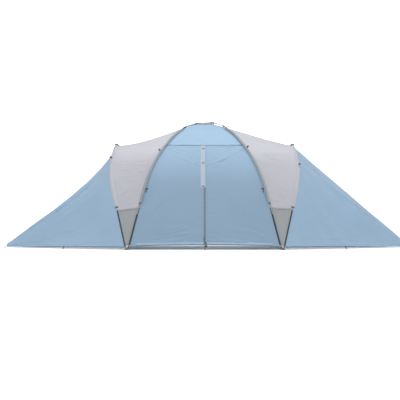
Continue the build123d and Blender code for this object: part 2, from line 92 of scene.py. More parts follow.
SIDES = (("left", -1), ("right", 1))
ENDS = (("front", -1), ("rear", 1))

# -------- lines


def length(vector):
    return float(np.linalg.norm(vector))


def unit(vectors):
    vectors = np.asarray(vectors, float)
    return vectors / np.maximum(np.linalg.norm(vectors, axis=-1, keepdims=True), 1e-9)


def travelled(points, axis=0):
    """Distance from the first point of a line, or from the first row or column of a grid."""
    steps = np.linalg.norm(np.diff(points, axis=axis), axis=-1)
    return np.concatenate((np.zeros_like(np.take(steps, [0], axis)), np.cumsum(steps, axis=axis)), axis=axis)


def evenly(line, count):
    """The same line with evenly spaced points."""
    line = np.asarray(line, float)
    travel = travelled(line)
    places = np.linspace(0.0, travel[-1], count)
    return np.stack([np.interp(places, travel, line[:, axis]) for axis in range(3)], axis=1)


def between(first, last, share):
    """Rows of points from a first line to a last one."""
    return first[None] * (1 - share) + last[None] * share


def smooth_line(corners, count=401):
    """Straight runs joined by tangent arcs, as the frame's poles are bent."""
    corners = [np.array(corner, float) for corner in corners]
    line = [corners[0]]
    for before, corner, after in zip(corners, corners[1:], corners[2:]):
        run_in, run_out = corner - before, after - corner
        reach = BEND_SHARE * min(length(run_in), length(run_out))
        direction_in, direction_out = unit(run_in), unit(run_out)
        weight = math.sqrt((1 + float(direction_in @ direction_out)) / 2)
        start, end = corner - direction_in * reach, corner + direction_out * reach
        for step in np.linspace(0, 1, 25):
            first, middle, last = (1 - step) ** 2, 2 * step * (1 - step) * weight, step ** 2
            line.append((first * start + middle * corner + last * end) / (first + middle + last))
    line.append(corners[-1])
    return evenly(line, count)


def at(line, fractions):
    """Points at the given fractions of a line's length."""
    places = np.linspace(0, 1, len(line))
    return np.stack([np.interp(fractions, places, line[:, axis]) for axis in range(3)], axis=-1)


def fraction_at_height(line, height):
    """Where the rising first half of a line reaches a height."""
    half = len(line) // 2
    return np.interp(height, line[:half, 2], np.linspace(0, 1, len(line))[:half])


def cross_pole(direction, crown, inset=0.0):
    """A cross pole's line from its front foot to its rear foot, direction -1 starting on the left."""
    foot, shoulder, bend = CROSS_CORNERS
    half = [(foot[0] - inset, 0.0 if inset else foot[1]), (shoulder[0] - inset, shoulder[1] - inset),
            (bend[0] - inset, crown - inset)]
    front = [(direction * DIAGONAL[0] * s, -DIAGONAL[1] * s, z) for s, z in half]
    rear = [(-x, -y, z) for x, y, z in reversed(front)]
    return smooth_line(front + rear)


def hoop(sign, inset=0.0):
    """A hoop's line from its front foot over its top to its rear foot."""
    front = [(sign * (x - HOOP_INSET * inset), y + inset, z - inset) for x, y, z in HOOP_CORNERS]
    front[0] = (front[0][0], front[0][1], 0.0 if inset else HOOP_CORNERS[0][2])
    rear = [(x, -y, z) for x, y, z in reversed(front)]
    top = (sign * (HOOP_TOP[0] - HOOP_INSET * inset), 0.0, HOOP_TOP[2] - inset)
    return smooth_line(front + [top] + rear)


LOWER_CROWN = CROWN_HEIGHT - CROSSING_GAP
cross_poles = {-1: cross_pole(-1, LOWER_CROWN), 1: cross_pole(1, CROWN_HEIGHT)}
cross_skins = {sign: cross_pole(sign, LOWER_CROWN, SKIN_DEPTH) for sign in (-1, 1)}
hoops = {sign: hoop(sign) for sign in (-1, 1)}
hoop_skins = {sign: hoop(sign, SKIN_DEPTH) for sign in (-1, 1)}
quarter = cross_skins[1][:201]    # from the front right foot to the crown


def smooth_step(value, low, high):
    share = np.clip((np.asarray(value, float) - low) / (high - low), 0, 1)
    return share * share * (3 - 2 * share)


def ripple(along, across, seed, waves=14, fine=1.0, spread=0.35):
    """Irregular folds that run mostly in the direction of along. About -1 to 1."""
    draws = np.random.default_rng(seed)
    total = np.zeros(np.broadcast(along, across).shape)
    weight_sum = 0.0
    for _ in range(waves):
        frequency = fine * draws.uniform(1.2, 7.0)
        turn = draws.normal(0, spread)
        phase = draws.uniform(0, 2 * math.pi)
        weight = 1.0 / (0.6 + 0.35 * frequency)
        place = frequency * (across * math.cos(turn) + along * math.sin(turn))
        drift = 0.9 * np.sin(2 * math.pi * frequency / 4.0 * along + 1.7 * phase)
        total = total + weight * np.sin(2 * math.pi * place + phase + drift)
        weight_sum += weight
    return total / (0.55 * weight_sum)


def creases(along, across, seed, count, across_range, along_range, tilt, width, size):
    """Separate sharp folds, each a narrow ridge beside a shallow valley. About -1 to 1, times size."""
    draws = np.random.default_rng(seed)
    total = np.zeros(np.broadcast(along, across).shape)
    for _ in range(count):
        centre = draws.uniform(*across_range)
        slope = draws.normal(*tilt)
        thickness = draws.uniform(*width)
        first = draws.uniform(*along_range)
        last = draws.uniform(*along_range)
        low, high = min(first, last), max(first, last)
        reach = max(high - low, 0.12)
        middle = (low + high) / 2
        bow = draws.normal(0, 0.05)
        strength = draws.uniform(0.35, 1.0) * draws.choice((-1.0, 1.0), p=(0.35, 0.65))
        local = (along - middle) / (0.5 * reach)
        window = np.exp(-local ** 4)
        place = (across - centre - slope * (along - middle) - bow * (along - middle) ** 2) / thickness
        ridge = np.exp(-place ** 2) - 0.45 * np.exp(-((place - 1.9) / 1.3) ** 2)
        total = total + strength * window * ridge
    return size * total


def fold_sets(along, across, seed, sets):
    """Several sets of creases: the step in seed and the slope of each, then its count, ranges and sizes."""
    total = 0.0
    for step, slope, *rest in sets:
        total = total + creases(along, across + slope * along, seed + step, *rest)
    return total


def end_folds(along, across, y, seed, sets):
    """The same sets of creases with other draws in the front and the rear half."""
    front = fold_sets(along, across, seed, sets) * (y <= 0)
    return front + fold_sets(along, across, seed + 30, sets) * (y > 0)


# -------- materials


materials = {}


def new_material(name):
    material = bpy.data.materials.new(name)
    materials[name] = material
    material.use_nodes = True
    tree = material.node_tree
    return material, tree, tree.nodes["Principled BSDF"]


def shade(colour, gain):
    return tuple(gain * c for c in colour)


def give(made, values):
    """Set constants on a node's sockets."""
    for socket, value in values:
        made.inputs[socket].default_value = value


def node(tree, kind, values=(), **settings):
    made = tree.nodes.new(kind)
    for key, value in settings.items():
        setattr(made, key, value)
    give(made, values)
    return made


def feed(tree, value, socket):
    """Link another node's output to a socket, or give the socket a constant."""
    if isinstance(value, bpy.types.NodeSocket):
        tree.links.new(value, socket)
    else:
        socket.default_value = value


def mix_colour(tree, factor, dark, light):
    mix = node(tree, "ShaderNodeMix", data_type="RGBA")
    tree.links.new(factor, mix.inputs["Factor"])
    for index, value in ((6, dark), (7, light)):
        feed(tree, (*value, 1.0) if isinstance(value, tuple) else value, mix.inputs[index])
    return mix.outputs[2]


def maths(tree, operation, first, second=0.0):
    made = node(tree, "ShaderNodeMath", operation=operation)
    for index, value in enumerate((first, second)):
        feed(tree, value, made.inputs[index])
    return made.outputs[0]


def texture(tree, kind, place, values, **settings):
    """A texture node that is read at a place."""
    made = node(tree, kind, values, **settings)
    tree.links.new(place, made.inputs["Vector"])
    return made.outputs["Fac"]


def add_bump(tree, shader, height, strength, distance):
    bump = node(tree, "ShaderNodeBump", (("Strength", strength), ("Distance", distance)))
    tree.links.new(height, bump.inputs["Height"])
    tree.links.new(bump.outputs["Normal"], shader.inputs["Normal"])


def fabric(name, colour, thread=0.0016, roughness=0.82, mottle=0.05, crinkle=0.35, glow=0.32, painted_light_by_height=None):
    """Coated plain-weave cloth that lets some light through.

    The last argument is the lower and upper height of a change of colour, and the gain above it: painted
    light or shade that makes the cloth lighter or darker higher up.
    """
    _, tree, shader = new_material(name)
    cloth_place = node(tree, "ShaderNodeUVMap", uv_map="cloth").outputs["UV"]
    place = node(tree, "ShaderNodeTexCoord").outputs["Object"]
    patches = texture(tree, "ShaderNodeTexNoise", place, (("Scale", 2.3), ("Detail", 4.0)))
    crumple = texture(tree, "ShaderNodeTexNoise", place,
                      (("Scale", 26.0), ("Detail", 6.0), ("Roughness", 0.62)))
    waves = (("Scale", 0.5 / thread / math.pi), ("Distortion", 0.0))
    threads = [texture(tree, "ShaderNodeTexWave", cloth_place, waves, wave_type="BANDS", bands_direction=axis)
               for axis in ("X", "Y")]
    weave = maths(tree, "MULTIPLY", *threads)
    cloth = mix_colour(tree, patches, shade(colour, 1 - mottle), shade(colour, 1 + mottle))
    # painted light or shade: the colour turns lighter or darker above a height
    if painted_light_by_height:
        low, high, gain = painted_light_by_height
        split = node(tree, "ShaderNodeSeparateXYZ")
        tree.links.new(place, split.inputs["Vector"])
        rise = node(tree, "ShaderNodeMapRange", (("From Min", low), ("From Max", high)),
                    interpolation_type="SMOOTHSTEP")
        tree.links.new(split.outputs["Z"], rise.inputs["Value"])
        cloth = mix_colour(tree, rise.outputs["Result"], cloth, shade(colour, gain))
    worn = mix_colour(tree, maths(tree, "MULTIPLY", weave, 0.10), cloth, shade(colour, 0.8))
    tree.links.new(worn, shader.inputs["Base Color"])
    height = maths(tree, "ADD", maths(tree, "MULTIPLY", weave, 0.12),
                   maths(tree, "MULTIPLY", crumple, crinkle))
    add_bump(tree, shader, height, 0.35, 0.003)
    rough = maths(tree, "ADD", roughness - 0.06, maths(tree, "MULTIPLY", patches, 0.12))
    tree.links.new(rough, shader.inputs["Roughness"])
    give(shader, (("Specular IOR Level", 0.28), ("Sheen Weight", 0.2), ("Sheen Roughness", 0.5)))
    through = node(tree, "ShaderNodeBsdfTranslucent")
    blend = node(tree, "ShaderNodeMixShader", (("Fac", glow),))
    tree.links.new(worn, through.inputs["Color"])
    tree.links.new(shader.outputs["BSDF"], blend.inputs[1])
    tree.links.new(through.outputs["BSDF"], blend.inputs[2])
    tree.links.new(blend.outputs["Shader"], tree.nodes["Material Output"].inputs["Surface"])


def webbing(name, colour, rib=0.004):
    """Woven tape or cord with ribs across it."""
    _, tree, shader = new_material(name)
    place = node(tree, "ShaderNodeTexCoord").outputs["Object"]
    ribs = texture(tree, "ShaderNodeTexWave", place,
                   (("Scale", 0.5 / rib / math.pi), ("Distortion", 0.6)),
                   wave_type="BANDS", bands_direction="DIAGONAL")
    noise = texture(tree, "ShaderNodeTexNoise", place, (("Scale", 180.0), ("Detail", 3.0)))
    mixed = mix_colour(tree, maths(tree, "MULTIPLY", ribs, noise), shade(colour, 0.75), shade(colour, 1.35))
    tree.links.new(mixed, shader.inputs["Base Color"])
    add_bump(tree, shader, ribs, 0.6, 0.0008)
    give(shader, (("Roughness", 0.85),))


def moulded(name, colour, roughness=0.4, grain=90.0, metallic=0.0, wear=0.25):
    """Plastic, fibreglass or plated metal: fine grain, slight scuffs and uneven gloss."""
    _, tree, shader = new_material(name)
    place = node(tree, "ShaderNodeTexCoord").outputs["Object"]
    fine = texture(tree, "ShaderNodeTexNoise", place, (("Scale", grain), ("Detail", 6.0)))
    scuffs = texture(tree, "ShaderNodeTexNoise", place, (("Scale", grain / 7), ("Detail", 3.0)))
    mixed = mix_colour(tree, scuffs, shade(colour, 1 - wear), shade(colour, 1 + wear))
    tree.links.new(mixed, shader.inputs["Base Color"])
    rough = maths(tree, "ADD", roughness - 0.1, maths(tree, "MULTIPLY", scuffs, 0.2))
    tree.links.new(rough, shader.inputs["Roughness"])
    add_bump(tree, shader, fine, 0.25, 0.0004)
    give(shader, (("Metallic", metallic),))


BLUE = (0.345, 0.490, 0.640)
GREY = (0.600, 0.600, 0.645)
# painted light: the door and rear wall cloth turns lighter from 0.85 to 1.5 m high, as if lit more from above
fabric("fly_blue", shade(BLUE, 0.81), painted_light_by_height=(0.85, 1.50, 1.26))
# painted light: a lighter copy of the fly blue for the front wall's upper panel, as if lit more from above
fabric("crown_blue_painted_light", shade(BLUE, 1.12))
# painted light and shade: the wings are lighter than the door cloth, as if lit more from above and the front,
# and a little darker again above 0.75 to 1.25 m
fabric("wing_blue_painted_light", shade(BLUE, 1.05), painted_light_by_height=(0.75, 1.25, 0.96))
fabric("fly_blue_seam", shade(BLUE, 0.66), mottle=0.1)
# painted highlight: a lighter strip for the cloth that turns out just above the hem and catches light from
# above
fabric("fly_blue_painted_highlight", shade(BLUE, 1.10))
# painted light: the grey roof cloth turns lighter from 1.2 to 1.5 m high, as if lit more from above
fabric("fly_grey", shade(GREY, 0.85), mottle=0.035, painted_light_by_height=(1.20, 1.50, 1.18))
fabric("gusset_grey", (0.36, 0.375, 0.385))
fabric("sleeve_grey", (0.36, 0.385, 0.41), crinkle=0.6)
fabric("hoop_sleeve_grey", (0.55, 0.555, 0.60), crinkle=0.6)
fabric("storm_grey", (0.47, 0.55, 0.65))
fabric("inner_fabric", (0.72, 0.72, 0.70), thread=0.0012)
fabric("groundsheet", (0.80, 0.81, 0.82), thread=0.004, roughness=0.24, crinkle=0.03, glow=0.0)
fabric("hem_dark", (0.13, 0.165, 0.20), mottle=0.15, glow=0.0)
fabric("binding", (0.040, 0.058, 0.080), mottle=0.15, glow=0.0)
moulded("fibreglass", (0.030, 0.040, 0.056), 0.62)
moulded("ferrule_steel", (0.45, 0.45, 0.46), 0.36, metallic=1.0)
webbing("shock_cord", (0.04, 0.04, 0.04), 0.002)
webbing("zip_nylon", (0.17, 0.22, 0.27), 0.003)
moulded("zip_metal", (0.07, 0.07, 0.08), 0.35, metallic=0.6)
webbing("webbing", (0.085, 0.095, 0.11))
moulded("toggle_plastic", (0.035, 0.07, 0.16), 0.42)
moulded("peg_steel", (0.17, 0.17, 0.18), 0.4, metallic=1.0)

# -------- mesh builders


def outward_normals(points, centre):
    """A normal at each point of a grid, all on the side away from a centre."""
    normals = unit(np.cross(np.gradient(points, axis=0), np.gradient(points, axis=1)))
    away = np.sum(normals * (points - np.asarray(centre, float)), axis=-1)
    return normals * (1.0 if np.mean(away) > 0 else -1.0)


def add_object(name, data):
    made = bpy.data.objects.new(name, data)
    bpy.context.scene.collection.objects.link(made)
    return made


def mesh_piece(name, vertices, faces, material, uvs):
    mesh = bpy.data.meshes.new(name)
    mesh.from_pydata([tuple(v) for v in vertices], [], faces)
    mesh.update()
    layer = mesh.uv_layers.new(name="cloth")
    loops = np.zeros(len(mesh.loops), np.int32)
    mesh.loops.foreach_get("vertex_index", loops)
    layer.data.foreach_set("uv", uvs[loops].astype(np.float32).ravel())
    mesh.polygons.foreach_set("use_smooth", [True] * len(mesh.polygons))
    piece = add_object(name, mesh)
    piece.data.materials.append(materials[material])
    return piece


def grid_parts(points, closed=False, first=0):
    """Vertices, faces and cloth coordinates in metres of a grid of points."""
    rows, columns = points.shape[:2]
    vertices = points.reshape(-1, 3)
    faces = []
    for row in range(rows - 1):
        for column in range(columns if closed else columns - 1):
            following = (column + 1) % columns
            faces.append((first + row * columns + column, first + row * columns + following,
                          first + (row + 1) * columns + following, first + (row + 1) * columns + column))
    across = travelled(points, 1)
    uvs = np.stack((across - across.mean(axis=1, keepdims=True), travelled(points)), axis=-1).reshape(-1, 2)
    return vertices, faces, uvs


def grid_piece(name, grids, material, closed=False):
    """One object made of one or more grids of points."""
    vertices, faces, uvs = [], [], []
    for points in grids:
        part = grid_parts(points, closed, sum(len(v) for v in vertices))
        vertices.append(part[0])
        faces += part[1]
        uvs.append(part[2])
    return mesh_piece(name, np.concatenate(vertices), faces, material, np.concatenate(uvs))


def tangents(line):
    return unit(np.gradient(line, axis=0))


TAPE_PUFF = 0.0012


def tape(line, outward, width, lift=0.0012):
    """A tape sewn along a line on cloth: both edges on the cloth, the middle a little proud."""
    normals = unit(outward)
    across = unit(np.cross(tangents(line), normals))
    half = width / 2
    profile = [(-half, lift * 0.2), (-half * 0.96, lift), (-half * 0.4, lift + TAPE_PUFF),
               (half * 0.4, lift + TAPE_PUFF), (half * 0.96, lift), (half, lift * 0.2)]
    return np.stack([line + across * b + normals * n for b, n in profile], axis=1)


def sew(name, grids, material, body="tent", closed=False):
    """A cloth piece made of grids of points, on its body and in its slot."""
    piece = grid_piece(name, grids, material, closed)
    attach(piece, body)
    return piece


# -------- front and rear walls


def door_edge(height):
    """Half width of the doorway at a height."""
    outline = smooth_line([(x, 0.0, z) for x, z in DOOR_EDGE_CORNERS], 101)
    return np.interp(height, outline[:, 2], outline[:, 0])


def hem_height(x):
    return HEM_CORNER_HEIGHT + (HEM_HEIGHT - HEM_CORNER_HEIGHT) * (1 - (np.abs(x) / 1.1) ** 2)


QUARTER_FRACTIONS = np.linspace(0, 1, len(quarter))


def quarter_at(height_fraction):
    """Half width, depth and height of the wall at fractions of the quarter line."""
    return at(quarter, height_fraction)


def quarter_fraction(height):
    return np.interp(height, quarter[:, 2], QUARTER_FRACTIONS)


# Sets of creases for fold_sets, with ranges in metres or in shares of a panel.
DOOR_FOLDS = (
    (0, -0.42, 13, (1.16, 1.47), (0.02, 0.62), (0.0, 0.12), (0.009, 0.016), 0.0060),
    (1, -1.3, 6, (0.75, 1.3), (0.05, 0.6), (0.0, 0.2), (0.012, 0.02), 0.0040),
    (2, 0.0, 34, (0.15, 1.50), (-0.14, 0.20), (0.05, 0.1), (0.006, 0.010), 0.0026),
    (3, 0.16, 9, (0.14, 0.42), (0.0, 1.0), (0.0, 0.06), (0.014, 0.026), 0.0052),
    (4, 0.9, 6, (0.9, 1.5), (0.3, 0.9), (0.0, 0.2), (0.012, 0.02), 0.0034),
)
CROWN_FOLDS = ((5, -0.1, 9, (1.56, 1.84), (0.0, 0.5), (0.0, 0.2), (0.010, 0.016), 0.0036),)


def wall_ripple(x, z):
    """How far the wall's cloth stands out of its smooth surface."""
    side = np.abs(x)
    lift = 0.0070 * ripple(z, side + 0.3 * z + np.where(x < 0, 0.0, 5.3), 12, fine=0.45)
    in_door = z < DOOR_TOP + 0.004
    for left, seed in ((True, 200), (False, 300)):
        door = fold_sets(side, z, seed, DOOR_FOLDS) * in_door
        crown = fold_sets(side, z, seed, CROWN_FOLDS) * ~in_door
        lift = lift + (door + crown) * ((x < 0) == left)
    return lift


def wall_grid(left, right, bottom, top, columns, rows, end_sign=-1):
    """Grid of the wall between two side functions and two height functions."""
    across = np.linspace(0, 1, columns)[None, :]
    up = np.linspace(0, 1, rows)[:, None]
    x = np.zeros((rows, columns))
    z = np.full((rows, columns), 0.1)
    for _ in range(3):
        x = left(z) + (right(z) - left(z)) * across
        low = quarter_fraction(bottom(x))
        high = quarter_fraction(top(x))
        fraction = low + (high - low) * up
        z = quarter_at(fraction)[..., 2]
    point = quarter_at(fraction)
    points = np.stack((x, end_sign * np.abs(point[..., 1]), point[..., 2]), axis=-1)
    normals = outward_normals(points, (0, 0, 0.4))
    edge = np.abs(point[..., 0]) - np.abs(x)
    fade = smooth_step(edge, 0.0, 0.07)
    seed_shift = 0.0 if end_sign < 0 else 3.7
    lift = fade * wall_ripple(x + seed_shift, point[..., 2])
    lift = lift - WALL_SET_BACK * fade * smooth_step(edge, 0.05, 0.6)
    return points + normals * lift[..., None], normals


def half_width(z):
    return quarter_at(quarter_fraction(z))[..., 0]


def wall_line(x, heights):
    """A rising line on the smooth front wall, and the outward direction along it."""
    point = quarter_at(quarter_fraction(heights))
    line = np.stack((x, -np.abs(point[:, 1]), point[:, 2]), axis=1)
    return line, unit(np.cross(np.tile((1.0, 0, 0), (len(line), 1)), tangents(line)))


def straight(value):
    return lambda other: np.full(np.shape(other), float(value))


CENTRE_GAP = 0.0015               # half the gap between the two flaps


wall_top = straight(CROWN_HEIGHT - CROSSING_GAP - SKIN_DEPTH - 0.0005)


def build_front_wall():
    top, top_normals = wall_grid(lambda z: -half_width(z), half_width, straight(DOOR_TOP), wall_top, 170, 75)
    # the upper panel takes the lighter blue with painted light from above
    wall = sew("front_wall_cloth", [top], "crown_blue_painted_light")
    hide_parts("front_wall")
    for side, sign in SIDES:
        inner = lambda z, s=sign: s * door_edge(z)
        outer = lambda z, s=sign: s * half_width(z)
        sides = (outer, inner) if sign < 0 else (inner, outer)
        strip_grid = wall_grid(*sides, hem_height, straight(DOOR_TOP), 14, 220)[0]
        surround = sew(f"{side}_door_surround", [strip_grid], "fly_blue")
    seam = tape(top[0], top_normals[0], 0.022)
    sew("door_head_seam", [seam], "fly_blue_seam")


def build_door_flap(side, sign):
    inner = straight(sign * CENTRE_GAP)
    outer = lambda z: sign * door_edge(z)
    sides = (outer, inner) if sign < 0 else (inner, outer)
    points, normals = wall_grid(*sides, hem_height, straight(DOOR_TOP), 120, 240)
    flap = grid_piece(f"{side}_door_cloth", [points], "fly_blue")
    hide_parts(f"{side}_door_flap")
    hem = tape(points[0] + (0, 0, 0.006), normals[0], 0.014, 0.0016)
    hem_piece = grid_piece(f"{side}_door_hem", [hem], "hem_dark")
    # painted highlight: a lighter strip just above the door hem
    band = tape(points[2] + (0, 0, 0.010), normals[2], 0.030, 0.0009)
    highlight_band_piece = grid_piece(f"{side}_door_painted_highlight_band", [band], "fly_blue_painted_highlight")
    for piece in (flap, hem_piece, highlight_band_piece):
        follow_door(piece, side, sign)


def follow_door(piece, side, sign):
    """Cloth near the sewn edge stays with the wall and turns with the door further in."""
    start = (sign * 1.0, -1.18, 0.0)
    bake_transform(piece, "tent", f"{side}_door", start=start, end=(sign * 0.85, -1.18, 0.0))
    mesh = piece.data
    co = np.array([v.co for v in mesh.vertices], float)
    inside = door_edge(co[:, 2]) - np.abs(co[:, 0])
    weight = smooth_step(inside, 0.0, 0.16)
    mesh.attributes["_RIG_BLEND"].data.foreach_set("value", weight.astype(np.float32))


def build_zip(side, sign):
    """Tape and coil along one flap's centre edge."""
    heights = np.linspace(HEM_HEIGHT + 0.012, DOOR_TOP - 0.012, 300)
    x = np.full(len(heights), sign * 0.0075)
    line, normals = wall_line(x, heights)
    line = line + normals * (wall_ripple(x, heights)[:, None] - WALL_SET_BACK + 0.0035)
    band = tape(line, normals, 0.014)
    teeth = []
    coil = evenly(line, 380)
    coil_normals = evenly(normals, 380)
    for index, (centre, out) in enumerate(zip(coil, coil_normals)):
        bump = 0.0016 if index % 2 else 0.0004
        teeth.append([centre + (-sign * (0.0062 - step * 0.004), 0, 0) + out * (bump + rise)
                      for step, rise in ((0, 0), (0.2, 0.0018), (0.8, 0.0022), (1, 0.0))])
    piece = sew(f"{side}_zip", [band, np.array(teeth)], "zip_nylon", f"{side}_door")
    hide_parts(f"{side}_zip_tape")


def build_storm_flap():
    """Strip that covers the upper zip, sewn along its left edge, with touch fasteners under it."""
    heights = np.linspace(STORM_FLAP_FOOT, DOOR_TOP - 0.006, 120)
    columns = []
    for share in np.linspace(0, 1, 12):
        x = np.full(len(heights), STORM_FLAP_SEAM + STORM_FLAP_WIDTH * share)
        line, out = wall_line(x, heights)
        wave = 0.0018 * ripple(heights, x * 4, 31, fine=1.4)
        columns.append(line + out * (wall_ripple(x, heights) - WALL_SET_BACK + 0.004 + 0.004 * share
                                     + wave * share)[:, None])
    points = np.stack(columns, axis=1)
    flap = sew("storm_flap_cloth", [points], "storm_grey", "left_door")
    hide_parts("storm_flap")
    normals = outward_normals(points, (0, 0, 0.4))
    patches = []
    for height in (1.475, 1.262, STORM_FLAP_FOOT + 0.018):
        row = int(np.argmin(np.abs(heights - height)))
        centre = points[row, 6] + normals[row, 6] * 0.001
        ahead = unit(points[row + 1 if row < 119 else row, 6] - points[row - 1, 6])
        grid = []
        for b in np.linspace(-0.019, 0.019, 7):
            grid.append([centre + np.array((b, 0, 0)) + ahead * a * (1 - (b / 0.03) ** 2)
                         + normals[row, 6] * (0.0022 - 26 * a * a) for a in np.linspace(-0.008, 0.008, 5)])
        patches.append(np.array(grid))
    sew("storm_flap_tabs", patches, "webbing", "left_door")


def build_rear_wall():
    points, normals = wall_grid(lambda z: -half_width(z), half_width, hem_height, wall_top, 220, 250, 1)
    wall = sew("rear_wall_cloth", [points], "fly_blue")
    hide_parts("rear_wall")
    seam_row = int(np.argmin(np.abs(points[:, 110, 2] - DOOR_TOP)))
    seam = tape(points[seam_row], normals[seam_row], 0.022)
    hem = tape(points[0] + (0, 0, 0.006), normals[0], 0.014, 0.0016)
    sew("rear_wall_seam", [seam], "fly_blue_seam")
    sew("rear_wall_hem", [hem], "hem_dark")


# -------- roof panels, gussets, wings


ROOF_SAG = {"left": 0.058, "right": 0.012}
SEAM_DROP = {"left": 0.040, "right": 0.018}     # the roof panel hangs lower beside the hoop


ROOF_FOLDS = (
    (0, 0.10, 16, (1.12, 1.56), (0.0, 1.0), (0.0, 0.10), (0.010, 0.017), 0.0068),
    (5, 0.05, 8, (0.66, 1.15), (0.0, 1.0), (0.0, 0.12), (0.012, 0.02), 0.0048),
    (7, 0.34, 5, (0.85, 1.12), (0.1, 1.0), (0.0, 0.1), (0.010, 0.015), 0.0060),
)


def build_roof_panel(side, sign):
    skin = cross_skins[sign]
    low = float(fraction_at_height(skin, SEAM_HEIGHT))
    half = 221
    count = 2 * half - 1
    rising = at(skin, np.linspace(low, 0.5, half))
    inner = np.concatenate((rising, (rising[::-1] * (1, -1, 1))[1:]))
    hoop_low = float(fraction_at_height(hoop_skins[sign], SEAM_HEIGHT - SEAM_DROP[side]))
    outer = at(hoop_skins[sign], np.linspace(hoop_low, 1 - hoop_low, count))
    share = np.linspace(0, 1, 90)[:, None, None]
    points = between(inner, outer, share)
    ridge = np.exp(-((np.linspace(-1, 1, count)) / 0.30) ** 2)[None, :]
    sag = ROOF_SAG[side] * np.sin(math.pi * share[..., 0] ** 1.25) * ridge
    points[..., 2] -= sag
    normals = outward_normals(points, (sign * 0.8, 0, 0.5))
    fade = np.clip(np.sin(math.pi * share[..., 0]), 0, 1) ** 0.45
    run = share[..., 0]
    height = points[..., 2]
    folds = 0.0050 * ripple(run * 0.6, height + 0.12 * run, 41 + sign, fine=0.5)
    folds = folds + end_folds(run, height, points[..., 1], 400 + 2 * sign, ROOF_FOLDS)
    points = points + normals * (fade * folds)[..., None]
    panel = sew(f"{side}_roof_cloth", [points], "fly_grey")
    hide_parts(f"{side}_roof_panel")
    lows = [tape(points[:, i], normals[:, i], 0.020) for i in (0, -1)]
    sew(f"{side}_roof_hem", lows, "sleeve_grey")


def build_gusset(side, sign, end_name, end_sign):
    """Triangle of cloth between the two pole legs of one corner."""
    skin = cross_skins[sign] * (1, -end_sign, 1)
    hoop_skin = hoop_skins[sign] * (1, -end_sign, 1)
    pole_top = float(fraction_at_height(skin, SEAM_HEIGHT))
    hoop_top = float(fraction_at_height(hoop_skin, SEAM_HEIGHT - SEAM_DROP[side]))
    low = float(fraction_at_height(skin, 0.070))
    up = np.linspace(0, 1, 60)
    inner = at(skin, low + (pole_top - low) * up)
    outer = at(hoop_skin, low + (hoop_top - low) * up)
    share = np.linspace(0, 1, 24)[None, :, None]
    points = inner[:, None] * (1 - share) + outer[:, None] * share
    normals = outward_normals(points, (sign * 0.9, 0, 0.3))
    bulge = np.sin(math.pi * share[..., 0]) * (0.25 + up[:, None])
    lift = bulge * 0.004 * ripple(up[:, None] * 0.6, share[..., 0] * 0.3, 61 + sign, fine=2.2)
    points = points + normals * (lift - 0.006 * bulge)[..., None]
    gusset = sew(f"{side}_{end_name}_gusset_cloth", [points], "gusset_grey")
    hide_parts(f"{side}_{end_name}_gusset")
    edges = [tape(points[:, i], normals[:, i], 0.022) for i in (0, -1)]
    edges.append(tape(points[-1], normals[-1], 0.012))
    sew(f"{side}_{end_name}_gusset_binding", edges, "binding")


WING_HEM_HEIGHT = 0.036
WING_SAG = {"left": 0.150, "right": -0.006}
WING_SIDE_SAG = {"left": 0.09, "right": 0.03}
WING_GROOVE = {"left": 0.030, "right": 0.016}     # depth of the hollow below the crease
WING_CREASE_HEIGHT = {"left": 1.425, "right": 1.300}     # on the hoop
WING_CREASE_SHARPNESS = {"left": 0.45, "right": 0.70}


def creased_section(edge, crease_height):
    """The hoop's outline pulled straight between its top, the crease and the ground."""
    top, foot = edge[len(edge) // 2], edge[0]
    half = edge[:len(edge) // 2]
    crease_y = np.interp(crease_height, half[:, 2], half[:, 1])
    above = edge[:, 2] > crease_height
    straight_z = top[2] - (top[2] - crease_height) * np.abs(edge[:, 1] / crease_y)
    share = (crease_height - edge[:, 2]) / (crease_height - foot[2])
    straight_y = np.abs(crease_y) + (np.abs(foot[1]) - np.abs(crease_y)) * share
    flat = edge.copy()
    flat[:, 2] = np.where(above, straight_z, edge[:, 2])
    flat[:, 1] = np.where(above, edge[:, 1], np.sign(edge[:, 1]) * straight_y)
    return flat


WING_FOLDS = (
    (0, 0.0, 10, (0.72, 0.93), (0.0, 0.75), (-0.35, 0.22), (0.009, 0.014), 0.0085),
    (3, 0.0, 9, (0.25, 0.75), (0.0, 0.7), (-0.25, 0.2), (0.011, 0.018), 0.0060),
    (5, 0.0, 6, (0.05, 0.3), (0.1, 1.0), (0.0, 0.08), (0.011, 0.018), 0.0050),
)


def outer_x(node_name, sign):
    """The end of a node's box that lies further from the middle of the tent."""
    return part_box(node_name)[0 if sign < 0 else 1].x


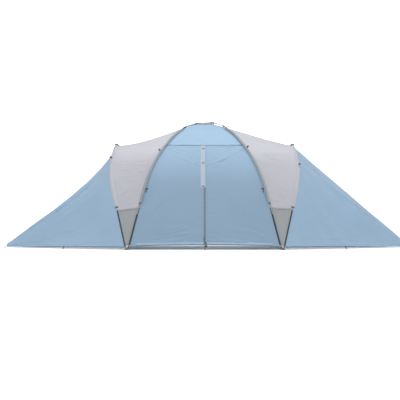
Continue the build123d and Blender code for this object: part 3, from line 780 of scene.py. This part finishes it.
def build_wing(side, sign):
    skin = hoop_skins[sign]
    low = float(fraction_at_height(skin, WING_HEM_HEIGHT))
    count = 401
    edge = at(skin, np.linspace(low, 1 - low, count))
    tip = np.stack((np.full(count, outer_x(f"{side}_wing", sign)), edge[:, 1] * 0.022,
                    0.014 + edge[:, 2] * 0.041 / 1.546), axis=1)
    share = np.linspace(0, 1, 180)[:, None, None]
    run = share[..., 0]
    crease_height = WING_CREASE_HEIGHT[side]
    taut = WING_CREASE_SHARPNESS[side] * smooth_step(run, 0.0, 0.30)[..., None]
    section = edge[None] * (1 - taut) + creased_section(edge, crease_height)[None] * taut
    points = section * (1 - share) + tip[None] * share
    height_share = np.clip(edge[None, :, 2] / edge[:, 2].max(), 0, 1) + 0 * run
    sag = WING_SAG[side] * np.sin(math.pi * run ** 0.62) * (1 - 0.1 * run)
    points[..., 2] -= sag * height_share ** 1.6
    side_sag = WING_SIDE_SAG[side] * np.sin(math.pi * run ** 0.8)
    points[..., 1] *= 1 - side_sag * np.sin(math.pi * height_share) ** 1.2
    normals = outward_normals(points, (sign * 1.8, 0, 0.2))
    fade = np.clip(run / 0.06, 0, 1) * (1 - smooth_step(run, 0.9, 1.0))
    around = (np.linspace(-2.1, 2.1, count)[None, :]) * ((1 - run) * 1.0 + 0.10)
    below_crease = crease_height / edge[:, 2].max() - height_share
    tension = 0.0080 * ripple(run * 1.6, around, 71 + sign, fine=0.55, spread=0.22)
    fan = end_folds(run, height_share, points[..., 1], 500 + 2 * sign, WING_FOLDS)
    diagonal = 0.0040 * ripple(run * 1.6 + around * 0.5, around - 0.6 * run, 77 + sign, fine=0.6)
    hem_wave = 0.0070 * np.exp(-height_share / 0.10) * ripple(run * 2.0, around, 83 + sign, fine=1.0)
    groove_place = (below_crease - 0.055) / 0.045
    groove = WING_GROOVE[side] * np.exp(-groove_place ** 2)
    groove = groove * smooth_step(run, 0.05, 0.35) * (1 - run) ** 0.3
    points = points + normals * (fade * (tension + fan + diagonal + hem_wave - groove))[..., None]
    # the wing cloth takes the wing blue with painted light and shade
    wing = sew(f"{side}_wing_cloth", [points], "wing_blue_painted_light")
    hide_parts(f"{side}_wing")
    hems = [tape(points[:, i] + (0, 0, 0.005), normals[:, i], 0.012, 0.0016) for i in (0, -1)]
    # painted highlight: lighter strips just above the wing hems
    bands = [tape(points[:, i] + (0, 0, 0.010), normals[:, i], 0.030, 0.0009) for i in (2, -3)]
    sew(f"{side}_wing_hem", hems, "hem_dark")
    sew(f"{side}_wing_painted_highlight_band", bands, "fly_blue_painted_highlight")


# -------- pole sleeves

SLEEVE_HALF = ((-0.016, -0.0062), (-0.0095, -0.0010), (-0.0055, 0.0058), (0.0, 0.0080))
FLAT_HALF = ((-0.027, -0.0100), (-0.0255, -0.0080)) + SLEEVE_HALF
FLAT_SLEEVE = FLAT_HALF + tuple((-across, out) for across, out in FLAT_HALF[-2::-1])
HOOP_SLEEVE = ((-0.026, -0.0110), (-0.0245, -0.0085)) + SLEEVE_HALF + (
    (0.0060, 0.0052), (0.0100, -0.0030), (0.0150, -0.0120), (0.0215, -0.0200), (0.0225, -0.0215))


def sleeve_grid(line, across, profile, seed):
    """A profile of (across, outwards) carried along a pole's line, slightly puckered."""
    normals = unit(np.cross(tangents(line), across))
    away = np.sum(normals * (line - np.array((0, 0, 0.4))), axis=1)
    normals = normals * np.where(away > 0, 1.0, -1.0)[:, None]
    run = travelled(line)
    columns = []
    for index, (b, n) in enumerate(profile):
        pucker = 0.0008 * ripple(run * 0 + index * 0.05, run * 2.2, seed, fine=2.0)
        columns.append(line + across * b * (1 + pucker * 40)[:, None] + normals * (n + pucker)[:, None])
    return np.stack(columns, axis=1), normals


def build_sleeves():
    grids, hems, edges = [], [], []
    low = float(fraction_at_height(cross_poles[1], SLEEVE_FOOT))
    crown_gap = SLEEVE_GAP / DIAGONAL[0] / travelled(cross_poles[1])[-1]
    for direction, line in cross_poles.items():
        for first, last in ((low, 0.5 - crown_gap), (0.5 + crown_gap, 1 - low)):
            part = at(line, np.linspace(first, last, 200))
            horizontal = np.array((DIAGONAL[1] * direction, DIAGONAL[0], 0.0))
            across = np.tile(horizontal, (len(part), 1))
            grid, normals = sleeve_grid(part, across, FLAT_SLEEVE, 90 + direction)
            grids.append(grid)
            for end in (slice(0, 3), slice(-3, None)):
                hems.append(grid[end] + normals[end][:, None] * 0.0007)
            for column in (1, -2):
                edges.append(tape(grid[:, column], normals, 0.007, 0.0006))
    sleeves = sew("cross_pole_sleeve_cloth", grids, "sleeve_grey")
    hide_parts("cross_pole_sleeves")
    sew("cross_pole_sleeve_hems", hems, "webbing")
    sew("cross_pole_sleeve_edges", edges, "hem_dark")
    for side, sign in SIDES:
        line = hoops[sign]
        low = float(fraction_at_height(line, SEAM_HEIGHT))
        part = at(line, np.linspace(low, 1 - low, 300))
        ahead = tangents(part)
        across = unit(np.array((sign, 0.0, 0.0)) - ahead * (ahead[:, :1] * sign))
        grid, normals = sleeve_grid(part, across, HOOP_SLEEVE, 96 + sign)
        piece = sew(f"{side}_hoop_sleeve_cloth", [grid], "hoop_sleeve_grey")
        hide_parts(f"{side}_hoop_sleeve")
        ends = [grid[end] + normals[end][:, None] * 0.0007 for end in (slice(0, 3), slice(-3, None))]
        sew(f"{side}_hoop_sleeve_hems", ends, "webbing")


def loop_tab(centre, ahead, out, width=0.020, reach=0.026):
    """Folded webbing tab that stands off the cloth, as a grid bent into a small loop."""
    side = unit(np.cross(ahead, out))
    rows = []
    for turn in np.linspace(0, 1, 13):
        rise = math.sin(math.pi * turn)
        forward = (turn - 0.5) * 0.010 * (1 + 1.5 * rise)
        rows.append([centre + side * b + ahead * forward + out * (0.002 + reach * rise)
                     for b in np.linspace(-width / 2, width / 2, 4)])
    return np.array(rows)


GUY_HEIGHTS = {"left": (1.440, 1.335), "right": (1.490, 1.235)}     # on the cross pole, on the hoop
GUY_REACH = {"left": 0.040, "right": 0.036}


def build_guy_loops():
    """Small folded tabs on the pole sleeves and hoops, where guy lines may be tied."""
    for side, sign in SIDES:
        tabs = []
        for end_sign in (-1, 1):
            for line, height in zip((cross_poles[sign], hoops[sign]), GUY_HEIGHTS[side]):
                fraction = float(fraction_at_height(line, height))
                point = at(line, fraction) * (1, -end_sign, 1)
                ahead = unit(at(line, fraction + 0.01) * (1, -end_sign, 1) - point)
                out = unit(np.array((sign * 0.8, end_sign * 0.6, 0.25)))
                out = unit(out - ahead * float(out @ ahead))
                tabs.append(loop_tab(point + out * 0.004, ahead, out, reach=GUY_REACH[side]))
            top = at(hoops[sign], 0.5 + 0.03 * end_sign)
            tabs.append(loop_tab(top + (0, 0, 0.004), np.array((0.0, 1.0, 0.0)), np.array((0.0, 0.0, 1.0)),
                                 0.050, 0.018))
        sew(f"{side}_guy_loops", tabs, "webbing")


CLIP_PLACES = (0.140, 0.290)     # across the tent from the crown
CLIP_WRAP = 0.0120


def build_crown_patch():
    """Square of cloth laid over the crossing of the two long poles and sewn to the fly around it."""
    half = 0.118
    span = np.linspace(-half, half, 61)
    x, y = np.meshgrid(span, span * 1.07)
    cloth = CROWN_HEIGHT - CROSSING_GAP - SKIN_DEPTH + 0.003
    ridges = []
    for crown, direction in ((CROWN_HEIGHT, 1), (LOWER_CROWN, -1)):
        beside = np.abs(x * DIAGONAL[1] + y * DIAGONAL[0] * direction)
        ridges.append((crown + ROD_RADIUS + 0.0015 - cloth) * np.exp(-np.maximum(beside - 0.006, 0) / 0.016))
    height = cloth + np.maximum(*ridges) + 0.0015 * ripple(x * 3, y * 3, 151)
    points = np.stack((x, y, height), axis=-1)
    patch = sew("crown_patch", [points], "fly_grey")
    borders = [points[0], points[-1], points[:, 0], points[:, -1]]
    up = np.tile((0.0, 0.0, 1.0), (61, 1))
    sew("crown_patch_binding", [tape(line, up, 0.006) for line in borders], "hem_dark")


def build_clip_tabs():
    """Webbing that ties each crown clip to the fly under it."""
    tabs = []
    for line in cross_poles.values():
        for place_x in CLIP_PLACES:
            for sign in (-1, 1):
                index = int(np.argmin(np.abs(line[:, 0] - sign * place_x)))
                ahead = unit(line[index + 1] - line[index - 1])
                across = unit(np.cross(ahead, (0.0, 0.0, 1.0)))
                out = np.cross(across, ahead)
                ring = []
                for turn in np.radians(np.linspace(-215, 35, 25)):
                    offset = across * math.cos(turn) * CLIP_WRAP - out * math.sin(turn) * CLIP_WRAP
                    ring.append([line[index] + offset + ahead * b for b in np.linspace(-0.018, 0.018, 5)])
                tabs.append(np.array(ring))
    sew("crown_clip_tabs", tabs, "webbing")


def build_door_hook():
    """Short elastic with a hook at the foot of the right-hand flap, for the peg ring under the door."""
    heights = np.array((0.118, 0.100, 0.082, 0.060, 0.036))
    x = np.array((0.016, 0.018, 0.021, 0.024, 0.028))
    depth = -np.abs(quarter_at(quarter_fraction(heights))[:, 1]) - 0.008
    line = evenly(np.stack((x, depth, heights), axis=1), 20)
    elastic = tape(line, np.tile((0.0, -1.0, 0.2), (20, 1)), 0.017)
    sew("door_hook_elastic", [elastic], "webbing", "right_door")


# -------- bedrooms and floors


def room_arch():
    corners = ((-1.035, 0.0, 0.090), (-0.870, 0.0, 1.010), (-0.480, 0.0, 1.360), (0.0, 0.0, 1.400))
    corners = corners + tuple((-y, 0.0, z) for y, _, z in reversed(corners[:-1]))
    line = smooth_line(corners, 161)
    return line[:, 0], line[:, 2]


def rounded_loop(half_width_y, low, high, radius, count):
    """Closed rounded rectangle in the YZ plane, starting at the middle of its lower edge."""
    y, z = [0.0], [low]
    for side, level, start in ((1, low, -90), (1, high, 0), (-1, high, 90), (-1, low, 180)):
        centre_y = side * (half_width_y - radius)
        centre_z = level + (radius if level == low else -radius)
        for angle in np.radians(np.linspace(start, start + 90, 9)):
            y.append(centre_y + radius * math.cos(angle))
            z.append(centre_z + radius * math.sin(angle))
    y.append(0.0)
    z.append(low)
    loop = np.stack((y, np.zeros(len(y)), z), axis=1)
    even = evenly(loop, count + 1)[:-1]
    return even[:, 0], even[:, 2]


def build_bedroom(side, sign):
    arch_y, arch_z = room_arch()
    wall_x = sign * (ROOM_WALL_X + 0.0015)
    count = 240
    hole_y, hole_z = rounded_loop(0.380, 0.130, 1.230, 0.150, count)
    outer = np.stack((arch_y, np.zeros(len(arch_y)), arch_z), axis=1)
    middle, corner = (0.0, 0, 0.090), (1.035, 0, 0.090)
    outer = np.concatenate(([middle, (-1.035, 0, 0.090)], outer, [corner, middle]))
    outer = evenly(outer[::-1], count + 1)[:-1]
    share = np.linspace(0, 1, 30)[:, None]
    y = between(hole_y, outer[:, 0], share)
    z = between(hole_z, outer[:, 2], share)
    dent = 0.006 * np.sin(math.pi * share) * ripple(z, y, 101 + sign, fine=0.8)
    points = np.stack((wall_x + sign * dent, y, z), axis=-1)
    wall = sew(f"{side}_bedroom_wall_cloth", [points], "inner_fabric", closed=True)
    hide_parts(f"{side}_bedroom_wall")

    door_y, door_z = rounded_loop(0.377, 0.133, 1.227, 0.147, count)
    share = np.linspace(0.002, 1, 36)[:, None]
    y = door_y[None] * share
    z = ROOM_DOOR_MIDDLE + (door_z - ROOM_DOOR_MIDDLE)[None] * share
    dent = 0.005 * (1 - share ** 3) * ripple(z, y, 107 + sign, fine=0.9)
    points = np.stack((wall_x + sign * dent, y, z), axis=-1)
    door = sew(f"{side}_bedroom_door_cloth", [points], "inner_fabric",
               f"{side}_room_door", closed=True)
    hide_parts(f"{side}_bedroom_door")
    rim = np.stack((np.full(count, wall_x - sign * 0.002), door_y * 0.985,
                    ROOM_DOOR_MIDDLE + (door_z - ROOM_DOOR_MIDDLE) * 0.99), axis=1)
    rim = np.concatenate((rim, rim[:1]))
    zip_band = tape(rim, np.tile((-sign, 0.0, 0.0), (len(rim), 1)), 0.012)
    sew(f"{side}_bedroom_door_zip", [zip_band], "zip_nylon", f"{side}_room_door")

    near = np.stack((np.full(len(arch_y), sign * (ROOM_WALL_X + 0.012)), arch_y, arch_z + 0.004), axis=1)
    far_x = outer_x(f"{side}_bedroom_canopy", sign)
    far_z = 0.090 + (near[:, 2] - 0.090) * 0.07
    far = np.stack((np.full(len(arch_y), far_x), arch_y * 0.0908, far_z), axis=1)
    share = np.linspace(0, 1, 70)[:, None, None]
    points = between(near, far, share)
    normals = outward_normals(points, (sign * 1.7, 0, 0.2))
    sag = 0.020 * np.sin(math.pi * share[..., 0]) * (points[..., 2] / 1.40)
    wave = 0.005 * np.sin(math.pi * share[..., 0]) * ripple(share[..., 0] * 1.5, points[..., 1], 113 + sign)
    points = points + normals * (wave - sag)[..., None]
    canopy = sew(f"{side}_bedroom_canopy_cloth", [points], "inner_fabric")
    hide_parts(f"{side}_bedroom_canopy")

    tray = tray_outline(side, sign)
    centre = tray.mean(axis=0)
    loops = []
    for lift, pull in ((0.078, 0.002), (0.055, 0.003), (0.028, 0.003), (0.010, 0.006), (0.003, 0.016),
                       (0.002, 0.05), (0.002, 0.3), (0.002, 0.7), (0.002, 0.98)):
        shrink = 1 - pull
        loop = centre + (tray - centre) * shrink
        loop[:, 2] = lift + 0.001 * ripple(loop[:, 0], loop[:, 1], 119) * (0.02 < pull < 0.9)
        loops.append(loop)
    floor = sew(f"{side}_bedroom_tray", [np.array(loops)], "groundsheet", closed=True)
    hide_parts(f"{side}_bedroom_floor")


def tray_outline(side, sign):
    low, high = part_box(f"{side}_bedroom_floor")
    near_x, far_x = (low.x, high.x)[::sign]
    corners = ((near_x, low.y, 0.0), (far_x, -0.094, 0.0), (far_x, 0.094, 0.0), (near_x, high.y, 0.0),
               (near_x, low.y, 0.0))
    return evenly(corners, 161)[:-1]


def build_peg_straps():
    """Elastic bands from the hems down to the peg rings."""
    straps = [((0.012, 1.150, HEM_HEIGHT - 0.010), (0.0, 1.194, 0.013))]
    straps += [((sign * 2.080, 0.655, 0.040), (sign * 2.080, 0.679, 0.012)) for _, sign in SIDES]
    grids = []
    for _, end_sign in ENDS:
        for top, foot in np.array(straps) * (1, end_sign, 1):
            line = evenly((top, (top + foot) / 2 + (0.0, 0.0, -0.004), foot), 24)
            grids.append(tape(line, np.tile(unit((0.0, end_sign, 0.4)), (24, 1)), 0.016))
    sew("peg_straps", grids, "webbing")


def build_groundsheet():
    low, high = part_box("living_groundsheet")
    x = np.linspace(low.x, high.x, 90)[:, None]
    y = np.linspace(low.y, high.y, 80)[None, :]
    height = 0.0025 + 0.0012 * ripple(x, y, 127, fine=0.8) ** 2
    points = np.stack((x + 0 * y, y + 0 * x, height + 0 * x), axis=-1)
    sheet = sew("living_groundsheet_cloth", [points], "groundsheet")
    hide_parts("living_groundsheet")


# -------- the tent

build_front_wall()
for side, sign in SIDES:
    build_door_flap(side, sign)
    build_zip(side, sign)
build_storm_flap()
build_rear_wall()
for side, sign in SIDES:
    build_roof_panel(side, sign)
    build_wing(side, sign)
    build_bedroom(side, sign)
    for end_name, end_sign in ENDS:
        build_gusset(side, sign, end_name, end_sign)
build_sleeves()
build_guy_loops()
build_crown_patch()
build_clip_tabs()
build_door_hook()
build_peg_straps()
build_groundsheet()

slot_of = {part["node"]: part["material_slot"] for part in frame["record"]["subparts"]}
for name, cad_object in frame["nodes"].items():
    for material_slot in cad_object.material_slots:
        material_slot.material = materials[slot_of[name]]

# -------- stage, light and camera


FLOOR_NEAR = (8.0, 3.2)         # half size of the floor that the lamps light well
STAGE_REACH = 60.0
BACKDROP_HEIGHT = 14.0
SURROUND_GLOW = 0.85
WHITE = (1.0, 1.0, 1.0, 1.0)


def stage_piece(name, corners, faces, emission):
    mesh = bpy.data.meshes.new(name)
    mesh.from_pydata(corners, [], faces)
    piece = add_object(name, mesh)
    material, _, shader = new_material(name)
    give(shader, (("Base Color", (0.80, 0.80, 0.80, 1.0)), ("Roughness", 0.95), ("Specular IOR Level", 0.0),
                  ("Emission Color", WHITE), ("Emission Strength", emission)))
    piece.data.materials.append(material)


def build_stage():
    """Pale floor whose far parts, away from the lamps, glow to the same white, and a low backdrop."""
    def square(half_x, half_y, height):
        return [(a * half_x, b * half_y, height) for a, b in ((-1, -1), (1, -1), (1, 1), (-1, 1))]

    around = [(i, (i + 1) % 4, (i + 1) % 4 + 4, i + 4) for i in range(4)]
    near = square(*FLOOR_NEAR, 0.0)
    far = square(STAGE_REACH, STAGE_REACH, 0.0)
    stage_piece("floor", near, [(0, 1, 2, 3)], 0.30)
    stage_piece("floor_surround", near + far, around, SURROUND_GLOW)
    stage_piece("backdrop", far + square(STAGE_REACH, STAGE_REACH, BACKDROP_HEIGHT), around, SURROUND_GLOW)


def area_light(name, location, target, size, power):
    data = bpy.data.lights.new(name, "AREA")
    data.energy = power
    data.shape = "RECTANGLE"
    data.size = size[0]
    data.size_y = size[1]
    lamp = add_object(name, data)
    lamp.location = location
    direction = np.array(target, float) - np.array(location, float)
    lamp.rotation_euler = Vector(direction).to_track_quat("-Z", "Y").to_euler()


def build_light():
    world = bpy.data.worlds.new("studio")
    world.use_nodes = True
    give(world.node_tree.nodes["Background"], (("Color", WHITE), ("Strength", 0.26)))
    bpy.context.scene.world = world
    area_light("overhead", (0.0, -3.0, 9.0), (0.0, -1.5, 0.5), (14.0, 12.0), 1290.0)
    area_light("front_fill", (0.0, -14.0, 5.0), (0.0, 0.0, 0.8), (14.0, 5.0), 16.0)
    bpy.context.scene.view_settings.view_transform = "Standard"


def build_camera():
    data = bpy.data.cameras.new("camera")
    data.sensor_width = 36.0
    data.lens = 125.4
    data.clip_end = 200.0
    camera = add_object("camera", data)
    camera.location = (-0.0685, -21.2, 0.69)
    camera.rotation_euler = (math.radians(90.082), 0.0, 0.0)
    bpy.context.scene.camera = camera


build_stage()
build_light()
build_camera()
